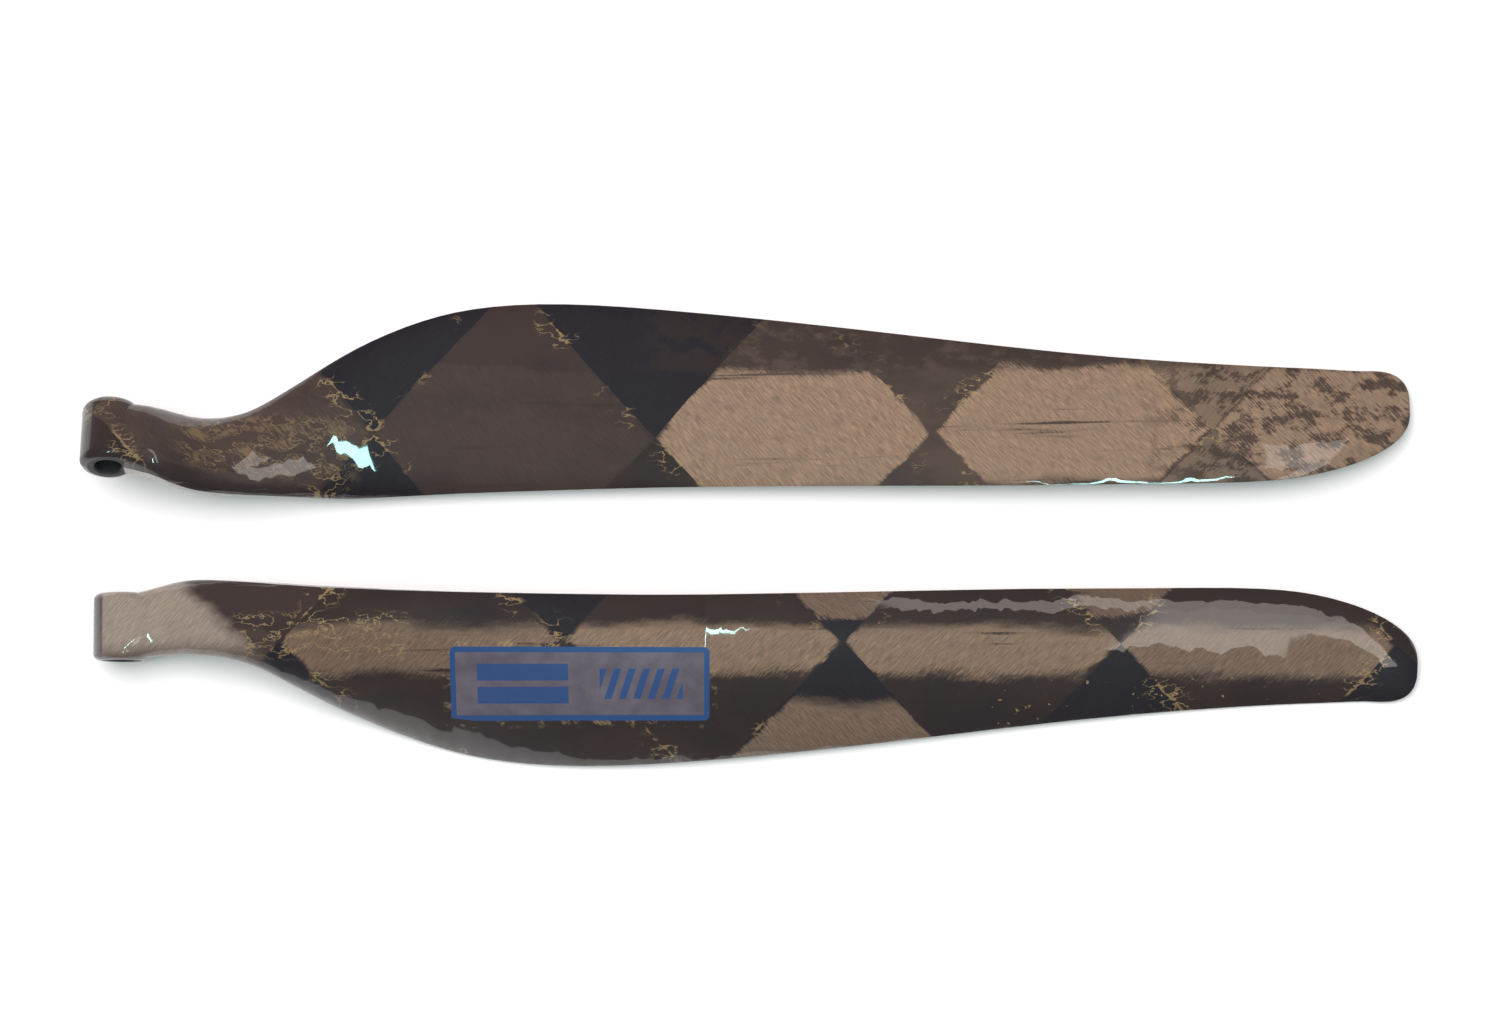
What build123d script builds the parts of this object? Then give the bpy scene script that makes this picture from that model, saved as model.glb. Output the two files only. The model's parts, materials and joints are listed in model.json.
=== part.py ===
from build123d import *
import math
import os

# A pair of loose folding-propeller blades, lying side by side as a set: blade A with its front
# (suction) face up, blade B with its back (pressure) face up.
#
# One blade is modelled in its own frame and then laid down twice. Blade frame: origin at the middle
# of the pivot bore, +X along the span to the tip, +Y along the bore towards the leading edge,
# +Z forward, out of the front face.

# ---- driving dimensions, in millimetres and degrees -------------------------------------------

propeller_diameter = 13 * 25.4      # tip circle of the opened propeller
propeller_pitch = 8 * 25.4          # advance in one turn, sets the twist
pivot_spacing = 42.0                # between the two pivot pins of a standard yoke

bore_radius = 1.5                   # 3 mm pivot pin
bore_chamfer = 0.2
root_width = 7.5                    # over the two cheeks of the root barrel
root_radius = 3.15                  # round end of the root
root_rim_fillet = 0.8

neck_inset = 0.15                   # the neck starts a little inside the cheeks
neck_height = 6.1
neck_lead = 5.0                     # the neck's edges, from the span line
neck_trail = 3.15
neck_end = 7.0                      # span where the neck starts to open into the blade
neck_squareness = 3.5               # superellipse exponent of the neck's section

greatest_chord = 20.3
blade_thickness = 3.5               # the blade's own thickness line, read at the pivot
tip_thickness = 0.5
thinning = 0.9                      # exponent of the thinning towards the tip
root_fairing = 14.0                 # span over which the neck's extra thickness fades
edge_thickness = 0.3                # blunt trailing edge
camber = 0.045                      # share of the chord
camber_place = 0.38                 # share of the chord, from the leading edge

twist_line = 0.4                    # share of the chord that the section turns about
blade_set = 2.0                     # the blade stands this much steeper on its root than the helix
twist_start = 4.0                   # the root is straight up to here, then the section turns
twist_full = 30.0                   # span where it has reached the helix angle
section_start = 6.0                 # span where the section starts to become an aerofoil
section_full = 40.0

tip_lead_length = 18.0              # the leading edge sweeps back over this length
tip_lead_drop = 7.4
tip_lead_roundness = 1.9            # exponent of the swept curve
tip_trail_radius = 2.8

skin_thickness = 0.4                # one moulded skin of spread-tow cloth
nose_closing = 1.5                  # the skins run together at the leading edge over this much more
tail_closing = 6.0                  # and at the trailing edge, in skin thicknesses
sleeve_wall = 0.8                   # compound moulded round the bore
crotch_length = 13.0                # the pivot core's wedge ends here
crotch_nose = 0.15
core_end_share = 0.86               # share of the span filled between the skins

spar_narrowed = 24.0                # span where the rovings have drawn in from the root to a band
spar_width = 5.6
spar_end_width = 3.4
spar_place = 0.38                   # share of the chord, from the leading edge

label_length = 28.6
label_width = 7.9
label_thickness = 0.1
label_corner = 0.6
label_centre = (50.9, -6.5)         # plan position in the blade frame

blade_spacing = 21.0                # between the two pivot bores as they lie
blade_stagger = -0.8                # blade B against blade A, along the span
rest_guess_a = (-6.0, 1.4)          # roll and pitch near the resting attitude
rest_guess_b = (152.0, 1.4)
blade_b_yaw = -0.35                 # the two spans are not quite parallel as they lie

# ---- sizes that follow ------------------------------------------------------------------------

blade_length = propeller_diameter / 2 - pivot_spacing / 2      # pivot to tip
core_end = core_end_share * blade_length
reach = 30.0                        # taller than a blade is thick, for the tools that cut it
seam_turn = 25.0                    # turns a barrel's seam away from the parting plane
sleeve_radius = bore_radius + sleeve_wall

# Plan outline beyond the neck: span as a share of the blade length, then the leading and trailing
# edges' distance from the span line, as shares of the greatest chord.
outline = [
    (0.10, 0.228, -0.205),
    (0.15, 0.196, -0.378),
    (0.20, 0.178, -0.538),
    (0.27, 0.167, -0.698),
    (0.34, 0.160, -0.750),
    (0.42, 0.158, -0.738),
    (0.55, 0.176, -0.658),
    (0.70, 0.200, -0.534),
    (0.85, 0.207, -0.438),
    (1.00, 0.198, -0.403),
]

# How far the blade's middle line stands forward of the pivot, by span.
forward_set = [
    (twist_start, 0.0),
    (0.07 * blade_length, 2.8),
    (0.14 * blade_length, 3.8),
    (0.25 * blade_length, 2.4),
    (0.42 * blade_length, 1.8),
    (0.70 * blade_length, 0.5),
    (blade_length, -0.8),
]

# ---- curves along the span --------------------------------------------------------------------


def follow(points, x):
    """Height at x of the smooth line through the points, level at its two ends."""
    slopes = [0.0]
    for (x0, y0), (x1, y1), (x2, y2) in zip(points, points[1:], points[2:]):
        before, after = (y1 - y0) / (x1 - x0), (y2 - y1) / (x2 - x1)
        slopes.append((before * (x2 - x1) + after * (x1 - x0)) / (x2 - x0))
    slopes.append(0.0)
    x = min(max(x, points[0][0]), points[-1][0])
    k = next(i for i in range(1, len(points)) if x <= points[i][0]) - 1
    (x0, y0), (x1, y1) = points[k], points[k + 1]
    t, run = (x - x0) / (x1 - x0), x1 - x0
    return (
        y0 * (1 + 2 * t) * (1 - t) ** 2
        + slopes[k] * run * t * (1 - t) ** 2
        + y1 * t * t * (3 - 2 * t)
        + slopes[k + 1] * run * t * t * (t - 1)
    )


def ease(x, start, full):
    """0 up to start, 1 from full on, smooth between."""
    t = min(max((x - start) / (full - start), 0.0), 1.0)
    return t * t * (3 - 2 * t)


def rounding(x, start, length, exponent):
    """0 up to start, rising to 1 at the end of the length along a rounded corner."""
    t = min(max((x - start) / length, 0.0), 1.0)
    return 1 - (1 - t**exponent) ** (1 / exponent)


def leading_edge(x):
    line = [(0.0, root_width / 2 - neck_inset), (neck_end, neck_lead)]
    line += [(share * blade_length, lead * greatest_chord) for share, lead, trail in outline]
    sweep = rounding(x, blade_length - tip_lead_length, tip_lead_length, tip_lead_roundness)
    return follow(line, x) - tip_lead_drop * sweep


def trailing_edge(x):
    line = [(0.0, neck_inset - root_width / 2), (neck_end, -neck_trail)]
    line += [(share * blade_length, trail * greatest_chord) for share, lead, trail in outline]
    corner = rounding(x, blade_length - tip_trail_radius, tip_trail_radius, 2)
    return follow(line, x) + tip_trail_radius * corner


def thickness(x):
    blade = tip_thickness + (blade_thickness - tip_thickness) * (1 - x / blade_length) ** thinning
    return blade + (neck_height - blade_thickness) * math.exp(-x / root_fairing)


def blade_angle(x):
    """Angle of the chord from the plane of rotation: the helix of the pitch, washed out at the root."""
    radius = pivot_spacing / 2 + x
    helix = math.atan(propeller_pitch / (2 * math.pi * radius))
    return (helix + math.radians(blade_set)) * ease(x, twist_start, twist_full)


# ---- sections ---------------------------------------------------------------------------------

points_per_face = 14
section_spans = [0, 3, 6, 9, 12, 15, 18, 22, 26, 31, 37, 44, 52, 62, 74, 88, 102, 115]
section_gap = 4.0                   # least gap before the first section of the rounded tip


def place(x, share, height):
    """A point at a share of the chord from the leading edge, and a height forward of the chord."""
    angle = blade_angle(x)
    lead, trail = leading_edge(x), trailing_edge(x)
    chord = (lead - trail) / math.cos(angle)
    forward = follow(forward_set, x)
    middle = twist_line * chord
    back = share * chord
    y = lead - back * math.cos(angle) - height * math.sin(angle)
    z = forward + (middle - back) * math.sin(angle) + height * math.cos(angle)
    return Vector(x, y, z)


def mean_height(x, share):
    """Height of the camber line over the chord."""
    chord = (leading_edge(x) - trailing_edge(x)) / math.cos(blade_angle(x))
    if share < camber_place:
        bow = (2 * camber_place * share - share**2) / camber_place**2
    else:
        bow = (1 - 2 * camber_place + 2 * camber_place * share - share**2) / (1 - camber_place) ** 2
    return camber * chord * bow * ease(x, section_start, section_full)


def aerofoil(share):
    """Half thickness of a classic round-nosed section, as a share of its greatest thickness."""
    return (
        1.4845 * math.sqrt(share)
        - 0.630 * share
        - 1.758 * share**2
        + 1.4215 * share**3
        - 0.5075 * share**4
    )


def ring(x, inset):
    """The section's outline at span x as points, set in from the surface by the inset."""
    air = ease(x, section_start, section_full)
    chord = (leading_edge(x) - trailing_edge(x)) / math.cos(blade_angle(x))
    nose = inset * (1 + nose_closing * air) / chord
    tail = 1 - inset * (1 + tail_closing * air) / chord
    deep = thickness(x) - 2 * inset
    front, back = [], []
    for k in range(points_per_face):
        turn = math.pi * (k + 0.5) / points_per_face
        side = math.cos(turn)
        boxed = math.copysign(abs(side) ** (2 / neck_squareness), side)
        own = (1 - side) / 2
        share = nose + (tail - nose) * ((1 - air) * (1 - boxed) / 2 + air * own)
        neck_half = math.sin(turn) ** (2 / neck_squareness) / 2
        half = deep * ((1 - air) * neck_half + air * aerofoil(own)) + air * edge_thickness * own / 2
        mean = mean_height(x, share)
        front.append(place(x, share, mean + half))
        back.append(place(x, share, mean - half))
    loop = front + back[::-1]
    seam = points_per_face // 2
    return loop[seam:] + loop[:seam]


def spans(start, end):
    """Section positions from start to end: close together at the neck and round the tip."""
    round_tip = blade_length - tip_lead_length
    inner = [x for x in section_spans if x < round_tip - section_gap]
    turns = [math.radians(angle) for angle in range(0, 90, 15)]
    outer = [round_tip + tip_lead_length * math.sin(turn) for turn in turns] + [blade_length]
    return [start] + [x for x in inner + outer if start + 1 < x < end - 0.05] + [end]


def body_between_sections(start, end, inset):
    loops = []
    for x in spans(start, end):
        steps = list(range(2 * points_per_face + 1))
        edge = Edge.make_spline(ring(x, inset), periodic=True, parameters=steps)
        loops.append(Wire([edge]))
    return Solid.make_loft(loops)


def front_half():
    """Everything forward of the camber surface, where the two skins meet."""
    over = 0.3
    shares = [-over, -over / 2, 0, 0.15, 0.3, 0.45, 0.6, 0.75, 0.9, 1, 1 + over / 2, 1 + over]
    wires = []
    for x in spans(twist_start, blade_length + 1):
        at = min(x, blade_length)
        line = []
        for share in shares:
            point = place(at, share, mean_height(at, min(max(share, 0.0), 1.0)))
            line.append(Vector(x, point.Y, point.Z))
        low = Edge.make_spline(line, parameters=list(range(len(line))))
        far_lead, far_trail = Vector(x, line[0].Y, reach), Vector(x, line[-1].Y, reach)
        sides = [
            Edge.make_line(line[-1], far_trail),
            Edge.make_line(far_trail, far_lead),
            Edge.make_line(far_lead, line[0]),
        ]
        wires.append(Wire([low] + sides))
    root_block = Pos(twist_start - reach / 2, 0, reach / 2) * Box(reach, reach, reach)
    return Solid.make_loft(wires) + root_block


def barrel(radius, width):
    """Cylinder along the bore."""
    return Rot(90, 0, 0) * Rot(0, 0, seam_turn) * Cylinder(radius, width)


def slab(points):
    """Upright block over a plan outline, tall enough to pass through the whole blade."""
    return extrude(make_face(Polyline(*points, close=True)), reach, both=True)


# ---- pieces of one blade ----------------------------------------------------------------------


def whole_blade():
    rounded = fillet(barrel(root_radius, root_width).edges().filter_by(GeomType.CIRCLE), root_rim_fillet)
    return body_between_sections(0, blade_length, 0) + rounded


def core_space():
    """The space between the two skins."""
    inner_barrel = barrel(root_radius - skin_thickness, root_width - 2 * skin_thickness)
    return body_between_sections(0, core_end, skin_thickness) + inner_barrel


def bore_tool():
    straight = barrel(bore_radius, root_width + 2)
    mouth = Cone(bore_radius, bore_radius + 2 * bore_chamfer, 2 * bore_chamfer)
    lead_mouth = Pos(0, root_width / 2, 0) * Rot(-90, 0, 0) * Rot(0, 0, seam_turn) * mouth
    trail_mouth = Pos(0, -root_width / 2, 0) * Rot(90, 0, 0) * Rot(0, 0, seam_turn) * mouth
    return straight + lead_mouth + trail_mouth


def crotch_wedge():
    """Teardrop round the bore, between the two legs of the roving loop, through the core's width."""
    nose = Pos(crotch_length, follow(forward_set, crotch_length)) * Circle(crotch_nose)
    outline_face = make_hull(Circle(sleeve_radius).edges() + nose.edges())
    return extrude(Plane.XZ * outline_face, root_width, both=True)


def spar_side(side):
    """The part of the plan beyond one edge of the roving band: side 1 leading, -1 trailing."""
    far, past_end = 2 * greatest_chord, core_end + 1
    line = [(neck_end / 2, side * root_width), (neck_end, side * 0.75 * root_width)]
    for x in spans(spar_narrowed, past_end):
        run = (x - spar_narrowed) / (past_end - spar_narrowed)
        width = spar_width + run * (spar_end_width - spar_width)
        lead, trail = leading_edge(x), trailing_edge(x)
        line.append((x, lead - spar_place * (lead - trail) + side * width / 2))
    return slab(line + [(past_end, side * far), (neck_end / 2, side * far)])


def label_piece(whole, front):
    """Thin decal let into the front skin's face, flush with it."""
    start = label_centre[0] - label_length / 2 - label_width / 2
    end = label_centre[0] + label_length / 2 + label_width / 2
    under = body_between_sections(start, end, label_thickness)
    outline_face = Pos(*label_centre) * RectangleRounded(label_length, label_width, label_corner)
    return (whole & extrude(outline_face, reach) & front) - under


def blade_pieces(whole):
    core, front, bore = core_space(), front_half(), bore_tool()
    sleeve = barrel(sleeve_radius, root_width)
    wedge = crotch_wedge()
    lead_side, trail_side = spar_side(1), spar_side(-1)
    label = label_piece(whole, front)
    shell = whole - core - sleeve
    return {
        "front_skin": (shell & front) - label,
        "back_skin": shell - front,
        "roving_loop": core - lead_side - trail_side - wedge,
        "pivot_core": (core & wedge) + sleeve - bore,
        "leading_filler": (core & lead_side) - wedge,
        "trailing_filler": (core & trail_side) - wedge,
        "label": label,
    }


# ---- laying the blades down -------------------------------------------------------------------


def settle(whole, guess):
    """Roll and pitch at which a blade lies at rest: its centre of mass is then lowest."""
    points = [tuple(point) for x in spans(0, blade_length) for point in ring(x, 0)]
    for turn in range(0, 360, 10):
        along, up = math.cos(math.radians(turn)), math.sin(math.radians(turn))
        for side in (-1, 1):
            rim, flat = root_radius, root_width / 2 - root_rim_fillet
            inner = root_radius - root_rim_fillet * (1 - math.sqrt(0.5))
            outer = root_width / 2 - root_rim_fillet * (1 - math.sqrt(0.5))
            points += [(rim * along, side * flat, rim * up), (inner * along, side * outer, inner * up)]
    centre = tuple(whole.center(CenterOf.MASS))

    def height(roll, pitch):
        r, p = math.radians(roll), math.radians(pitch)
        up = (-math.sin(p), math.cos(p) * math.sin(r), math.cos(p) * math.cos(r))
        low = min(sum(u * c for u, c in zip(up, point)) for point in points)
        return sum(u * c for u, c in zip(up, centre)) - low

    roll, pitch = guess
    best, step = height(roll, pitch), 1.0
    while step > 1e-4:
        tries = [(roll + step * math.cos(a / 6), pitch + step * math.sin(a / 6)) for a in range(38)]
        lowest, at = min((height(*attitude), attitude) for attitude in tries)
        if lowest < best - 1e-9:
            best, (roll, pitch) = lowest, at
        else:
            step /= 2
    return roll, pitch


def laid(whole, guess, yaw, x, y):
    """Where a blade lies: turned to its resting attitude, on the ground, with the bore over (x, y)."""
    roll, pitch = settle(whole, guess)
    turn = Rot(0, 0, yaw) * Rot(0, pitch, 0) * Rot(roll, 0, 0)
    return Pos(x, y, -(turn * whole).bounding_box().min.Z) * turn


def build():
    whole = whole_blade()
    pieces = blade_pieces(whole)
    place_a = laid(whole, rest_guess_a, 0, 0, -blade_spacing / 2)
    place_b = laid(whole, rest_guess_b, blade_b_yaw, blade_stagger, blade_spacing / 2)
    boxes = [(place * whole).bounding_box() for place in (place_a, place_b)]
    middle_x = (min(box.min.X for box in boxes) + max(box.max.X for box in boxes)) / 2
    middle_y = (min(box.min.Y for box in boxes) + max(box.max.Y for box in boxes)) / 2
    centred = Pos(-middle_x, -middle_y, 0)
    os.makedirs("parts", exist_ok=True)
    for name, place in (("blade_a", centred * place_a), ("blade_b", centred * place_b)):
        bore = (place * Pos(0, 1, 0)).position - place.position
        print(name, "bore middle", tuple(place.position), "bore axis", tuple(bore))
        for piece_name, piece in pieces.items():
            export_step(place * piece, f"parts/{name}_{piece_name}.step")


build()
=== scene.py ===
import json
import math

import bpy
import numpy as np
from mathutils import Matrix, Quaternion, Vector


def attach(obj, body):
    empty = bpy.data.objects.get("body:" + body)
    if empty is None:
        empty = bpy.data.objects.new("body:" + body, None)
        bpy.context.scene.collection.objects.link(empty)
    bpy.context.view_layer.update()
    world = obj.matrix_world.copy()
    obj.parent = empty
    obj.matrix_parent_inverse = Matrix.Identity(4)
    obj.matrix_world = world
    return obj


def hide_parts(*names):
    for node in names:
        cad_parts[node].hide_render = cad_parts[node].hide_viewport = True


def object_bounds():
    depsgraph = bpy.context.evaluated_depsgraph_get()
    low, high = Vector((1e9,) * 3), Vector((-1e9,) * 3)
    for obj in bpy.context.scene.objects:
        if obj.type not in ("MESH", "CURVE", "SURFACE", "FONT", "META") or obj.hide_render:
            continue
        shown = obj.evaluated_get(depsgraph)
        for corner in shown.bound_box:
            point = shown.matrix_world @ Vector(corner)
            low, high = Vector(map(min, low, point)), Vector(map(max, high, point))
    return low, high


# The looks of two loose folding-propeller blades: spread-tow carbon cloth under a high-gloss clear
# coat, with a printed decal let in under the coat. Lengths inside the shaders are millimetres in each
# blade's own frame: span along X from the pivot bore, Y along the bore towards the leading edge. Noise
# scales there are features per millimetre, and noise values run from 0 to 1 about a middle of 0.5.

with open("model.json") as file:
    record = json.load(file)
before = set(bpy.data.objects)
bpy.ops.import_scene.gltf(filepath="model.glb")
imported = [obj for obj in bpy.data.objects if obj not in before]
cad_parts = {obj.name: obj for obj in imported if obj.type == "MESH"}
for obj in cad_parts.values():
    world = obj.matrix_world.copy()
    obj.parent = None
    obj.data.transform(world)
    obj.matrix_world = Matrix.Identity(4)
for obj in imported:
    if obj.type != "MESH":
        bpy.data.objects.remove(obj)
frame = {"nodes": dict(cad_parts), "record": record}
cad_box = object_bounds()
nodes = frame["nodes"]

MM = 0.001
BLADES = ("blade_a", "blade_b")


# ---- where each blade lies --------------------------------------------------------------------


def corners_of(node, inverse):
    """Lowest and highest corner of a CAD node in a blade's own frame, in millimetres."""
    points = [inverse @ vertex.co for vertex in nodes[node].data.vertices]
    low = Vector([min(p[i] for p in points) for i in range(3)])
    high = Vector([max(p[i] for p in points) for i in range(3)])
    return low / MM, high / MM


def blade_frame(blade):
    """The blade's own frame: origin in the bore, X to the tip, Y to the leading edge, Z forward."""
    bore = next(m for m in frame["record"]["mounts"] if m["name"] == "pivot_bore_" + blade[-1])
    middle, axis = Vector(bore["pos_m"]), Vector(bore["axis"]).normalized()
    skin = [vertex.co - middle for vertex in nodes[blade + "_front_skin"].data.vertices]
    belly = sum(point.dot(axis) for point in skin) / len(skin)
    lead = -axis if belly > 0 else axis
    loop = [vertex.co - middle for vertex in nodes[blade + "_roving_loop"].data.vertices]
    far = max(point.length for point in loop)
    end = [point for point in loop if point.length > far - MM]
    span = sum(end, Vector()) / len(end)
    span = (span - lead * span.dot(lead)).normalized()
    forward = span.cross(lead)
    turn = Matrix((span, lead, forward)).transposed().to_4x4()
    return Matrix.Translation(middle) @ turn


FRAMES = {blade: blade_frame(blade) for blade in BLADES}
LABEL_LOW, LABEL_HIGH = corners_of("blade_a_label", FRAMES["blade_a"].inverted())


# ---- a small language for shader nodes --------------------------------------------------------


class Signal:
    """The output of a shader node, with arithmetic."""

    def __init__(self, look, socket):
        self.look, self.socket = look, socket

    def __add__(self, other):
        return self.look.math("ADD", self, other)

    def __sub__(self, other):
        return self.look.math("SUBTRACT", self, other)

    def __rsub__(self, other):
        return self.look.math("SUBTRACT", other, self)

    def __mul__(self, other):
        return self.look.math("MULTIPLY", self, other)

    def __truediv__(self, other):
        return self.look.math("DIVIDE", self, other)

    __radd__ = __add__
    __rmul__ = __mul__


class Look:
    """A material being made, with one Principled shader."""

    def __init__(self, name, blade, **settings):
        self.material = bpy.data.materials.new(name)
        self.material.use_nodes = True
        self.tree = self.material.node_tree
        self.shader = self.tree.nodes["Principled BSDF"]
        for socket, value in settings.items():
            self.shader.inputs[self.title(socket)].default_value = value
        inverse = FRAMES[blade].inverted()
        place = self.tree.nodes.new("ShaderNodeMapping")
        place.inputs["Rotation"].default_value = inverse.to_euler()
        place.inputs["Location"].default_value = inverse.translation / MM
        place.inputs["Scale"].default_value = (1 / MM, 1 / MM, 1 / MM)
        where = self.tree.nodes.new("ShaderNodeTexCoord")
        self.tree.links.new(where.outputs["Object"], place.inputs["Vector"])
        self.point = Signal(self, place.outputs["Vector"])
        split = self.tree.nodes.new("ShaderNodeSeparateXYZ")
        self.tree.links.new(place.outputs["Vector"], split.inputs[0])
        self.span = Signal(self, split.outputs[0])
        self.across = Signal(self, split.outputs[1])

    @staticmethod
    def title(name):
        """The shader's name for a socket: specular_ior_level is Specular IOR Level."""
        return name.replace("_", " ").title().replace("Ior", "IOR")

    def feed(self, socket, value):
        if isinstance(value, Signal):
            self.tree.links.new(value.socket, socket)
        elif isinstance(value, tuple) and socket.type == "RGBA":
            socket.default_value = (*value, 1.0)
        else:
            socket.default_value = value

    def node(self, kind, inputs, output=0, **settings):
        made = self.tree.nodes.new("ShaderNode" + kind)
        for name, value in settings.items():
            setattr(made, name, value)
        for name, value in inputs.items():
            self.feed(made.inputs[name], value)
        return Signal(self, made.outputs[output])

    def set(self, **signals):
        for name, value in signals.items():
            self.feed(self.shader.inputs[self.title(name)], value)

    def math(self, operation, *values, clamp=False):
        return self.node("Math", dict(enumerate(values)), operation=operation, use_clamp=clamp)

    def vector(self, x, y, z):
        return self.node("CombineXYZ", {0: x, 1: y, 2: z})

    def rise(self, value, start, full):
        """0 below start, 1 above full, smooth between; falls instead if full is below start."""
        inputs = {"Value": value, "From Min": start, "From Max": full}
        return self.node("MapRange", inputs, interpolation_type="SMOOTHSTEP")

    def window(self, value, start, end, soft):
        """1 between start and end, fading over the soft length outside them."""
        return self.rise(value, start - soft, start) * self.rise(value, end + soft, end)

    def noise(self, vector, scale, detail=2.0, roughness=0.5, seed=0.0):
        inputs = {"Vector": vector, "W": seed, "Scale": scale, "Detail": detail, "Roughness": roughness}
        return self.node("TexNoise", inputs, noise_dimensions="4D")

    def mix(self, factor, first, second):
        """A mix of two colours."""
        inputs = {"Factor": factor, 6: first, 7: second}
        return self.node("Mix", inputs, output=2, data_type="RGBA")

    def blend(self, factor, first, second):
        """A mix of two numbers."""
        return self.node("Mix", {0: factor, 2: first, 3: second})

    def bump(self, height, strength, distance):
        return self.node("Bump", {"Strength": strength, "Distance": distance * MM, "Height": height})

    def steps(self, value, first, colours):
        """The colour for each whole number from first on; the last colour holds beyond its own."""
        position = (value - (first - 0.5)) / len(colours)
        made = self.tree.nodes.new("ShaderNodeValToRGB")
        made.color_ramp.interpolation = "CONSTANT"
        while len(made.color_ramp.elements) < len(colours):
            made.color_ramp.elements.new(1.0)
        for k, colour in enumerate(colours):
            made.color_ramp.elements[k].position = k / len(colours)
            made.color_ramp.elements[k].color = (*colour, 1.0)
        self.feed(made.inputs[0], position)
        return Signal(self, made.outputs[0])


# ---- carbon cloth -----------------------------------------------------------------------------

SOOT = (0.013, 0.011, 0.016)
UMBER = (0.027, 0.018, 0.017)
BARK = (0.038, 0.024, 0.023)
TAUPE = (0.068, 0.046, 0.037)
FAWN = (0.140, 0.098, 0.072)
TAN_HIGHLIGHT = (0.330, 0.212, 0.145)
GOLD = (0.300, 0.210, 0.105)

TOW_STEP = 31.0     # along the span from one crossing of the tow edges to the next
FIRST_CELL = -2     # count of the cell at the root, where the rows of tones start
POLISH_PASSES = 14  # each evens the skins' normals out over one more mesh edge
COAT = {"coat_weight": 1.0, "coat_roughness": 0.03, "coat_ior": 1.5}


def cloth(look, first_crossing, row, seed):
    """The tow edges cross on the row line, first at first_crossing. Cells are counted along the span in
    half steps, from FIRST_CELL, and by side: 0 on the row line, 1 to the leading edge, -1 trailing."""
    waver = look.noise(look.point, 0.12, 3.0, seed=seed) - 0.5
    span = look.span - first_crossing + waver * 1.2
    across = look.across - row + waver * 0.8
    rising, falling = (span + across) / TOW_STEP, (span - across) / TOW_STEP
    rising_cell, falling_cell = look.math("FLOOR", rising), look.math("FLOOR", falling)
    side = rising_cell - falling_cell
    odd = look.math("ABSOLUTE", side, clamp=True)
    fine = look.noise(look.vector(rising * 14, falling * 150, seed), 1.0, 5.0, 0.75)
    fine_across = look.noise(look.vector(rising * 150, falling * 14, seed), 1.0, 5.0, 0.75)
    hatch = look.blend(odd, fine, fine_across)
    to_rising, to_falling = look.math("PINGPONG", rising, 0.5), look.math("PINGPONG", falling, 0.5)
    near_edge = look.math("MINIMUM", to_rising, to_falling)
    return rising_cell + falling_cell, side, hatch, near_edge * TOW_STEP


def by_side(look, choose, side, low, middle, high):
    """The signal for the trailing, middle or leading cells; choose is look.mix or look.blend."""
    chosen = choose(look.math("GREATER_THAN", side, 0.5), middle, high)
    return choose(look.math("LESS_THAN", side, -0.5), chosen, low)


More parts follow.
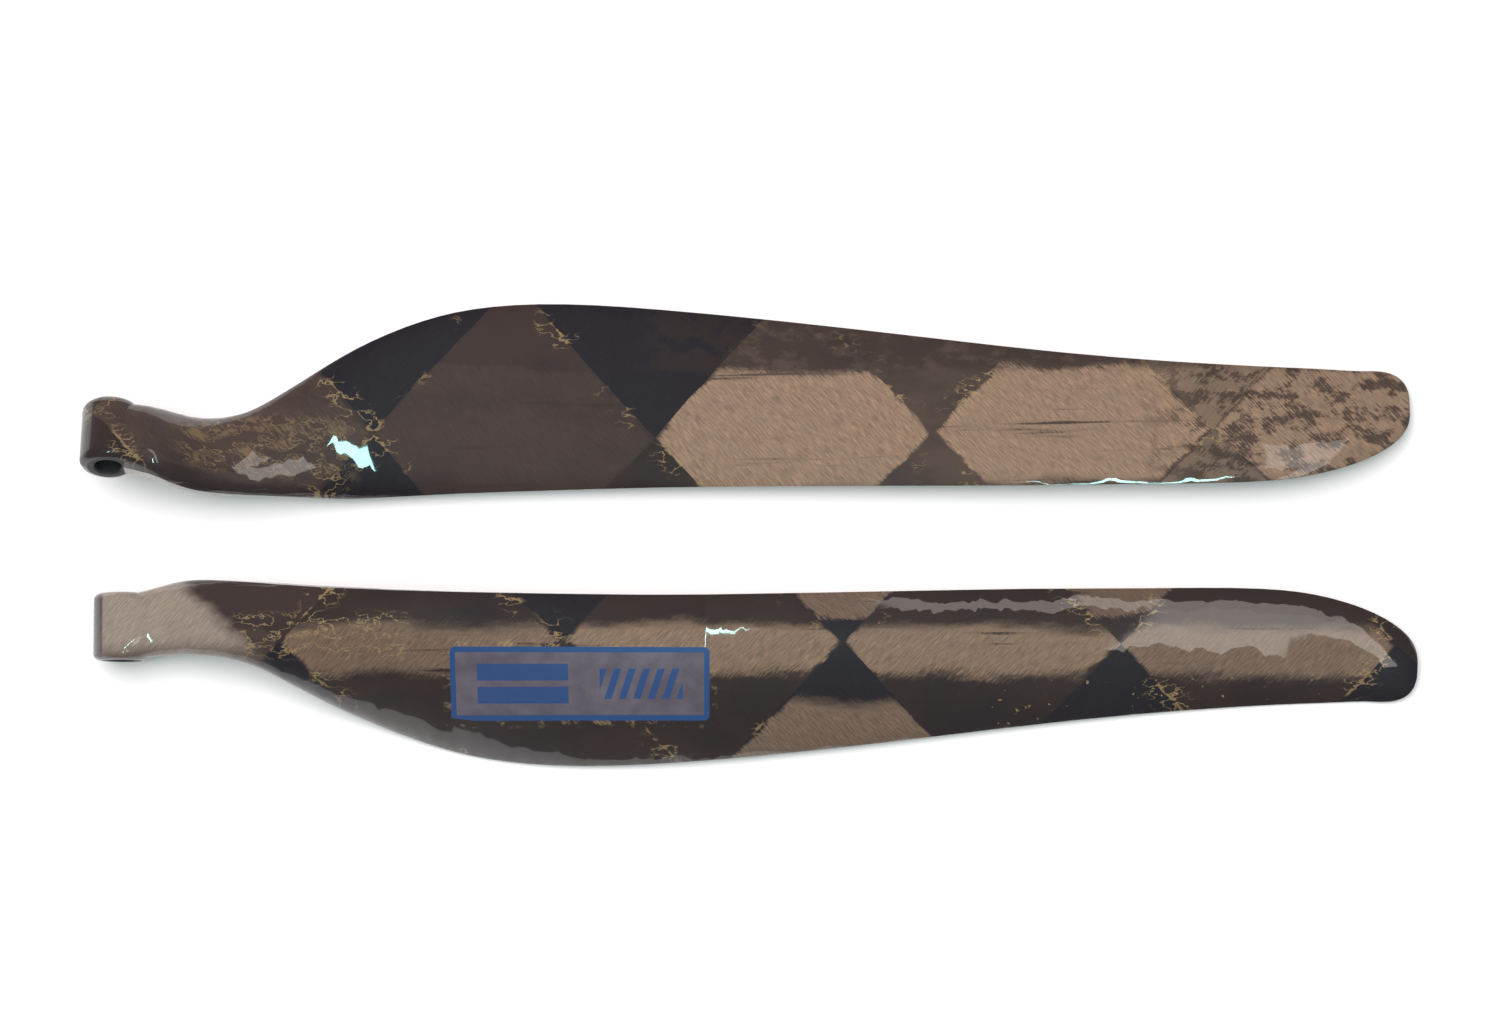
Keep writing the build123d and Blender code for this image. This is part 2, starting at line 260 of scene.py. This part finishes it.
def carbon(name, blade, first_crossing, row, tones, highlight_shares, highlight_bands, extras, seed):
    """One clear-coated skin of the cloth.

    tones and highlight_shares give the cells' ground colour, partly painted sheen, and their share of
    painted highlight, lit tan fibre, as rows for the trailing, middle and leading cells. The painted
    highlight shows inside each row's band across the blade, given as its start, end and softness;
    extras adds the touches that one face alone has."""
    look = Look(name, blade, roughness=0.5, specular_ior_level=0.3, **COAT)
    along, side, hatch, edge = cloth(look, first_crossing, row, seed)
    # painted sheen: the cells' tones make cells lighter or darker by their fibre direction, over the
    # cloth's dark ground
    grounds = [look.steps(along, FIRST_CELL, colours) for colours in tones]
    highlight_amounts = [look.steps(along, FIRST_CELL, [(a, a, a) for a in shares]) for shares in highlight_shares]
    ground = by_side(look, look.mix, side, *grounds)
    highlight_amount = by_side(look, look.blend, side, *highlight_amounts)

    # the ground: cloudy, with faint fibre streaks
    cloudy = look.noise(look.vector(look.span * 0.06, look.across * 0.14, seed + 3), 1.0, 4.0, 0.6)
    ground = look.mix(look.rise(cloudy, 0.42, 0.7) * 0.55, ground, SOOT)
    ground = look.mix(look.rise(hatch, 0.48, 0.75) * 0.22, ground, TAUPE)

    # painted highlight of lit tan fibre: a ragged threshold of the band's profile, low noise and the
    # streaks
    stretched = look.vector(look.span * 0.09, look.across * 0.30, seed + 7)
    blotch = look.noise(stretched, 1.0, 5.0, 0.62) - 0.5
    ragged_across = look.across + blotch * 4.5 + (hatch - 0.5) * 3.0
    in_highlight_band = by_side(look, look.blend, side, *(look.window(ragged_across, *one) for one in highlight_bands))
    rag = look.rise(edge + blotch * 4 + (hatch - 0.5) * 2, 0.0, 0.6)
    streaks = look.noise(look.vector(look.span * 0.035, look.across * 0.9, seed + 5), 1.0, 3.0, 0.6)
    holes = look.rise(streaks + (hatch - 0.5) * 0.45, 0.68, 0.60)
    field = in_highlight_band * rag * highlight_amount * holes
    highlight_colour = look.mix(look.rise(hatch, 0.35, 0.68), FAWN, TAN_HIGHLIGHT)
    colour = look.mix(field, ground, highlight_colour)

    # threads of stray fibre: contours of a stretched noise, in patches along the tow edges
    worm = look.noise(look.vector(look.span * 0.35, look.across * 0.75, seed + 11), 1.0, 3.0, 0.55)
    contour = look.rise(look.math("ABSOLUTE", worm - 0.5), 0.016, 0.004)
    patches = look.rise(look.noise(look.point, 0.16, 2.0, seed=seed + 13), 0.52, 0.60)
    seam = look.rise(edge + (worm - 0.5) * 3, 0.45, 0.15) * look.rise(worm, 0.45, 0.55)
    thread = look.math("MAXIMUM", contour * look.rise(edge, 3.5, 0.5), seam) * patches
    colour = look.mix(thread * 0.75, colour, GOLD)
    colour = extras(look, colour, worm, hatch, contour)
    look.set(base_color=colour)

    ripple = look.noise(look.vector(look.span * 0.12, look.across * 0.5, seed + 17), 1.0, 2.0, 0.5)
    look.set(coat_normal=look.bump(ripple, 0.02, 0.1))
    look.set(normal=look.bump(hatch, 0.3, 0.04))
    return look.material


def front_extras(look, colour, worm, hatch, contour):
    """The painted sheen of the beige root, a painted dark reflection across the root barrel, the stray
    fibre round the label, specks near the tip.
    """
    # painted sheen: the root drawn lighter and beige where the barrel and neck catch the light
    slant = look.span + look.across * 1.1 + (worm - 0.5) * 4
    root_sheen = look.window(slant, -6.0, 10.0, 3.5) * look.rise(look.across, -4.6, -1.5)
    beige_sheen = look.mix(look.rise(hatch, 0.3, 0.75), (0.200, 0.160, 0.135), (0.400, 0.320, 0.270))
    colour = look.mix(root_sheen * 0.8, colour, beige_sheen)
    # painted dark reflection: a dark band across the top of the root barrel
    colour = look.mix(look.window(look.span, -2.9, -2.1, 0.35) * 0.8, colour, SOOT)
    neck = look.window(look.span, 14.0, 31.0, 2.0) * look.window(look.across, -3.2, 0.5, 1.0)
    colour = look.mix(neck * contour * 0.7, colour, GOLD)
    halo = look.window(look.span, LABEL_LOW.x - 0.4, LABEL_HIGH.x + 0.4, 0.6)
    halo = halo * look.window(look.across, LABEL_LOW.y - 0.35, LABEL_HIGH.y + 0.35, 0.6)
    stray = look.rise(look.noise(look.point, 0.55, 4.0, 0.65, 29.0), 0.53, 0.60)
    colour = look.mix(halo * stray * look.rise(hatch, 0.4, 0.6) * 0.75, colour, GOLD)
    speck = look.rise(look.noise(look.point, 1.3, 2.0, seed=31.0), 0.68, 0.73)
    specks = speck * look.window(look.span, 98.0, 138.0, 4.0) * look.rise(look.across, -5.0, -6.5)
    return look.mix(specks * 0.8, colour, GOLD)


def back_extras(look, colour, worm, hatch, contour):
    """Golden squiggles along the neck, a dark mottled strip by the trailing edge, a mottled tip."""
    neck = look.window(look.span, 9.0, 25.0, 3.0) * look.window(look.across, -2.4, 2.4, 1.5)
    patch = look.rise(worm + (hatch - 0.5) * 0.9, 0.54, 0.62) * 0.5
    colour = look.mix(neck * look.math("MAXIMUM", contour * 0.6, patch) * 0.6, colour, GOLD)
    curls = look.noise(look.vector(look.span * 0.3, look.across * 0.5, 41.0), 1.0, 5.0, 0.65)
    mottle = look.rise(curls + (hatch - 0.5) * 0.5, 0.52, 0.44)
    tip = look.rise(look.span, 112.0, 122.0)
    colour = look.mix(tip * mottle * 0.8, colour, UMBER)
    strip = look.window(look.span, 62.0, 122.0, 5.0) * look.rise(look.across, -8.0, -9.0)
    return look.mix(strip * look.rise(curls, 0.40, 0.52) * 0.6, colour, UMBER)


def plain(name, blade, colour, roughness, grain):
    """A matt, faintly speckled resin or compound."""
    look = Look(name, blade, roughness=roughness)
    speckle = look.noise(look.point, grain, 4.0, 0.6)
    darker = tuple(0.55 * c for c in colour)
    look.set(base_color=look.mix(look.rise(speckle, 0.3, 0.7), darker, colour))
    look.set(normal=look.bump(speckle, 0.2, 0.1))
    return look.material


def label(name, blade):
    """A decal with a blue border and a plain motif: two broad bars, and a row of slanted dashes."""
    look = Look(name, blade, roughness=0.45, **COAT)
    low, high = LABEL_LOW, LABEL_HIGH
    border, soft = 0.62, 0.05
    inside_span = look.window(look.span, low.x + border, high.x - border, soft)
    inside_across = look.window(look.across, low.y + border, high.y - border, soft)
    cloudy = look.rise(look.noise(look.point, 0.35, 4.0, 0.6), 0.3, 0.7)
    field = look.mix(cloudy, (0.082, 0.068, 0.092), (0.125, 0.108, 0.138))
    blue = (0.018, 0.060, 0.185)
    middle, margin = (low.y + high.y) / 2, 3.0

    # two bars, one each side of the middle
    gap, reach, length = 0.35, 2.1, 10.0
    upper = look.window(look.across, middle + gap, middle + reach, soft)
    lower = look.window(look.across, middle - reach, middle - gap, soft)
    bars = (upper + lower) * look.window(look.span, low.x + margin, low.x + margin + length, soft)

    # slanted dashes, two half pitches from one to the next
    half_pitch, slant, half_height, start = 0.8, 0.35, 1.6, 16.5
    across_dashes = look.math("PINGPONG", look.span - look.across * slant, half_pitch)
    dashes = look.rise(across_dashes, 0.45 * half_pitch, 0.55 * half_pitch)
    dashes = dashes * look.window(look.across, middle - half_height, middle + half_height, soft)
    dashes = dashes * look.window(look.span, low.x + start, high.x - margin, soft)

    motif = look.math("ADD", bars, dashes, clamp=True)
    printed = look.mix(motif * 0.92, field, blue)
    look.set(base_color=look.mix(inside_span * inside_across, blue, printed))
    return look.material


def dress(node, material):
    """Gives a CAD node its one material."""
    nodes[node].data.materials.clear()
    nodes[node].data.materials.append(material)


def unit(rows):
    return rows / np.maximum(np.linalg.norm(rows, axis=1, keepdims=True), 1e-9)


def polished(node, body):
    """A copy of a skin with its normals evened out over a few millimetres, for less jagged
    reflections. It shows in place of the CAD node."""
    mesh = nodes[node].data.copy()
    corners = np.empty(len(mesh.loops), dtype=np.int64)
    mesh.loops.foreach_get("vertex_index", corners)
    normals = np.empty(len(mesh.loops) * 3)
    mesh.corner_normals.foreach_get("vector", normals)
    edges = np.empty(len(mesh.edges) * 2, dtype=np.int64)
    mesh.edges.foreach_get("vertices", edges)
    first, second = edges.reshape(-1, 2).T
    smooth = np.zeros((len(mesh.vertices), 3))
    np.add.at(smooth, corners, normals.reshape(-1, 3))
    smooth = unit(smooth)
    for _ in range(POLISH_PASSES):
        near = smooth.copy()
        np.add.at(near, first, smooth[second])
        np.add.at(near, second, smooth[first])
        smooth = unit(near)
    mesh.normals_split_custom_set_from_vertices(smooth.tolist())
    piece = bpy.data.objects.new(node + "_polished", mesh)
    bpy.context.scene.collection.objects.link(piece)
    piece.matrix_world = nodes[node].matrix_world.copy()
    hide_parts(node)
    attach(piece, body)


# Rows for the trailing, middle and leading cells, along the span from FIRST_CELL; the last entry of a
# row holds on to the tip. Next to the row line, the middle cells fall on even counts and the others
# on odd ones.
# the tones are the cloth's dark ground with painted sheen, lighter or darker by each cell's fibre
# direction
FRONT_TONES = (
    [UMBER, SOOT, UMBER, UMBER, UMBER, SOOT],
    [BARK, BARK, UMBER],
    [BARK, BARK, UMBER, SOOT, SOOT, SOOT, UMBER],
)
# painted highlight: each cell's share of lit tan fibre, then the band across the blade where it shows
FRONT_HIGHLIGHT_SHARES = (
    [0, 0, 0, 0, 0, 0.65, 0],
    [0.1, 0.1, 0.6, 0, 0.8, 0, 0.8, 0, 0.6, 0],
    [0, 0, 0, 0, 0, 0.5, 0, 0.4, 0],
)
FRONT_HIGHLIGHT_BANDS = ((-30.0, -9.0, 1.5), (-4.6, -1.0, 1.6), (1.2, 30.0, 0.6))
FRONT_CROSSING = (17.9, -2.0)       # where the tow edges first cross: span and row line
BACK_TONES = (
    [UMBER, SOOT, UMBER, SOOT, UMBER, TAUPE, TAUPE, FAWN],
    [BARK, BARK, BARK, BARK, TAUPE],
    [UMBER, SOOT, UMBER, UMBER, UMBER, TAUPE, TAUPE, FAWN, FAWN, TAUPE],
)
# painted highlight for the back face: each cell's share of lit tan fibre, then its bands
BACK_HIGHLIGHT_SHARES = (
    [0, 0, 0, 0, 0, 0, 0, 0.2, 0, 0.3, 0],
    [0.1, 0, 0.05, 0, 1, 0, 1, 0, 0.9, 0],
    [0, 0],
)
BACK_HIGHLIGHT_BANDS = ((-30.0, 0.0, 1.0), (-8.2, 3.4, 0.8), (1.0, 30.0, 1.0))
BACK_CROSSING = (28.9, -1.8)

for blade in BLADES:
    front = carbon(
        blade + "_front_carbon", blade, *FRONT_CROSSING, FRONT_TONES, FRONT_HIGHLIGHT_SHARES, FRONT_HIGHLIGHT_BANDS,
        front_extras, 1.0,
    )
    back = carbon(
        blade + "_back_carbon", blade, *BACK_CROSSING, BACK_TONES, BACK_HIGHLIGHT_SHARES, BACK_HIGHLIGHT_BANDS,
        back_extras, 2.0,
    )
    for skin, material in (("_front_skin", front), ("_back_skin", back)):
        dress(blade + skin, material)
        polished(blade + skin, blade)
    dress(blade + "_label", label(blade + "_decal", blade))
    dress(blade + "_pivot_core", plain(blade + "_compound", blade, (0.03, 0.03, 0.032), 0.5, 1.5))
    dress(blade + "_roving_loop", plain(blade + "_roving", blade, (0.03, 0.03, 0.03), 0.4, 1.5))
    for filler in ("_leading_filler", "_trailing_filler"):
        resin = plain(blade + filler + "_resin", blade, (0.1, 0.09, 0.075), 0.6, 1.0)
        dress(blade + filler, resin)


# ---- floor, light and camera ------------------------------------------------------------------


EYE = (-0.00035, 0.0021, 0.528)     # the camera looks straight down from here
LENS, SENSOR = 113.4, 36.0
LIGHT_HEIGHT = 1.2                  # of what the glossy coat mirrors
WARM, CYAN = (1.0, 0.92, 0.86), (0.55, 1.0, 0.95)


def area_light(name, place, aim, size, power, colour, glossy, turn=0.0):
    """A rectangular light facing its aim, turned about its own axis by an angle in degrees."""
    data = bpy.data.lights.new(name, "AREA")
    data.shape, data.size, data.size_y = "RECTANGLE", size[0], size[1]
    data.energy, data.color = power, colour
    light = bpy.data.objects.new(name, data)
    light.location = place
    light.rotation_mode = "QUATERNION"
    facing = (Vector(aim) - Vector(place)).to_track_quat("-Z", "Y")
    light.rotation_quaternion = facing @ Quaternion((0, 0, 1), math.radians(turn))
    light.visible_glossy = glossy
    light.visible_camera = False
    bpy.context.scene.collection.objects.link(light)


def mirrored(name, x, y, size, power, colour, turn=0.0):
    """A light that shines straight down and shows in the glossy coat."""
    area_light(name, (x, y, LIGHT_HEIGHT), (x, y, 0), size, power, colour, True, turn)


def floor():
    size, low = 4.0, cad_box[0].z - 0.02 * MM
    mesh = bpy.data.meshes.new("floor")
    corners = [(-size, -size, low), (size, -size, low), (size, size, low), (-size, size, low)]
    mesh.from_pydata(corners, [], [(0, 1, 2, 3)])
    ground = bpy.data.objects.new("floor", mesh)
    paint = bpy.data.materials.new("floor_paper")
    paint.use_nodes = True
    shader = paint.node_tree.nodes["Principled BSDF"]
    shader.inputs["Base Color"].default_value = (0.9, 0.885, 0.9, 1)
    shader.inputs["Roughness"].default_value = 0.9
    mesh.materials.append(paint)
    bpy.context.scene.collection.objects.link(ground)


def camera():
    data = bpy.data.cameras.new("camera")
    data.sensor_width, data.lens = SENSOR, LENS
    data.clip_start, data.clip_end = 0.01, 20.0
    eye = bpy.data.objects.new("camera", data)
    eye.location = EYE
    bpy.context.scene.collection.objects.link(eye)
    bpy.context.scene.camera = eye


def studio():
    """A dim warm room, a big soft light that the coat doesn't mirror, and what the coat mirrors."""
    world = bpy.data.worlds.new("studio")
    world.use_nodes = True
    background = world.node_tree.nodes["Background"]
    background.inputs["Color"].default_value = (1.0, 0.97, 0.95, 1)
    background.inputs["Strength"].default_value = 0.10
    bpy.context.scene.world = world
    bpy.context.scene.view_settings.view_transform = "Standard"
    area_light("overhead", (-0.25, 0.35, 1.1), (0, 0, 0), (1.2, 1.2), 23.0, (1.0, 0.975, 0.96), False)
    mirrored("strip", 0.128, -0.435, (0.06, 0.44), 2.4, CYAN, -11)
    mirrored("card", 0.39, -0.15, (0.12, 0.70), 0.95, WARM)
    mirrored("card_end", 0.345, 0.35, (0.21, 0.30), 0.60, WARM)


floor()
studio()
camera()
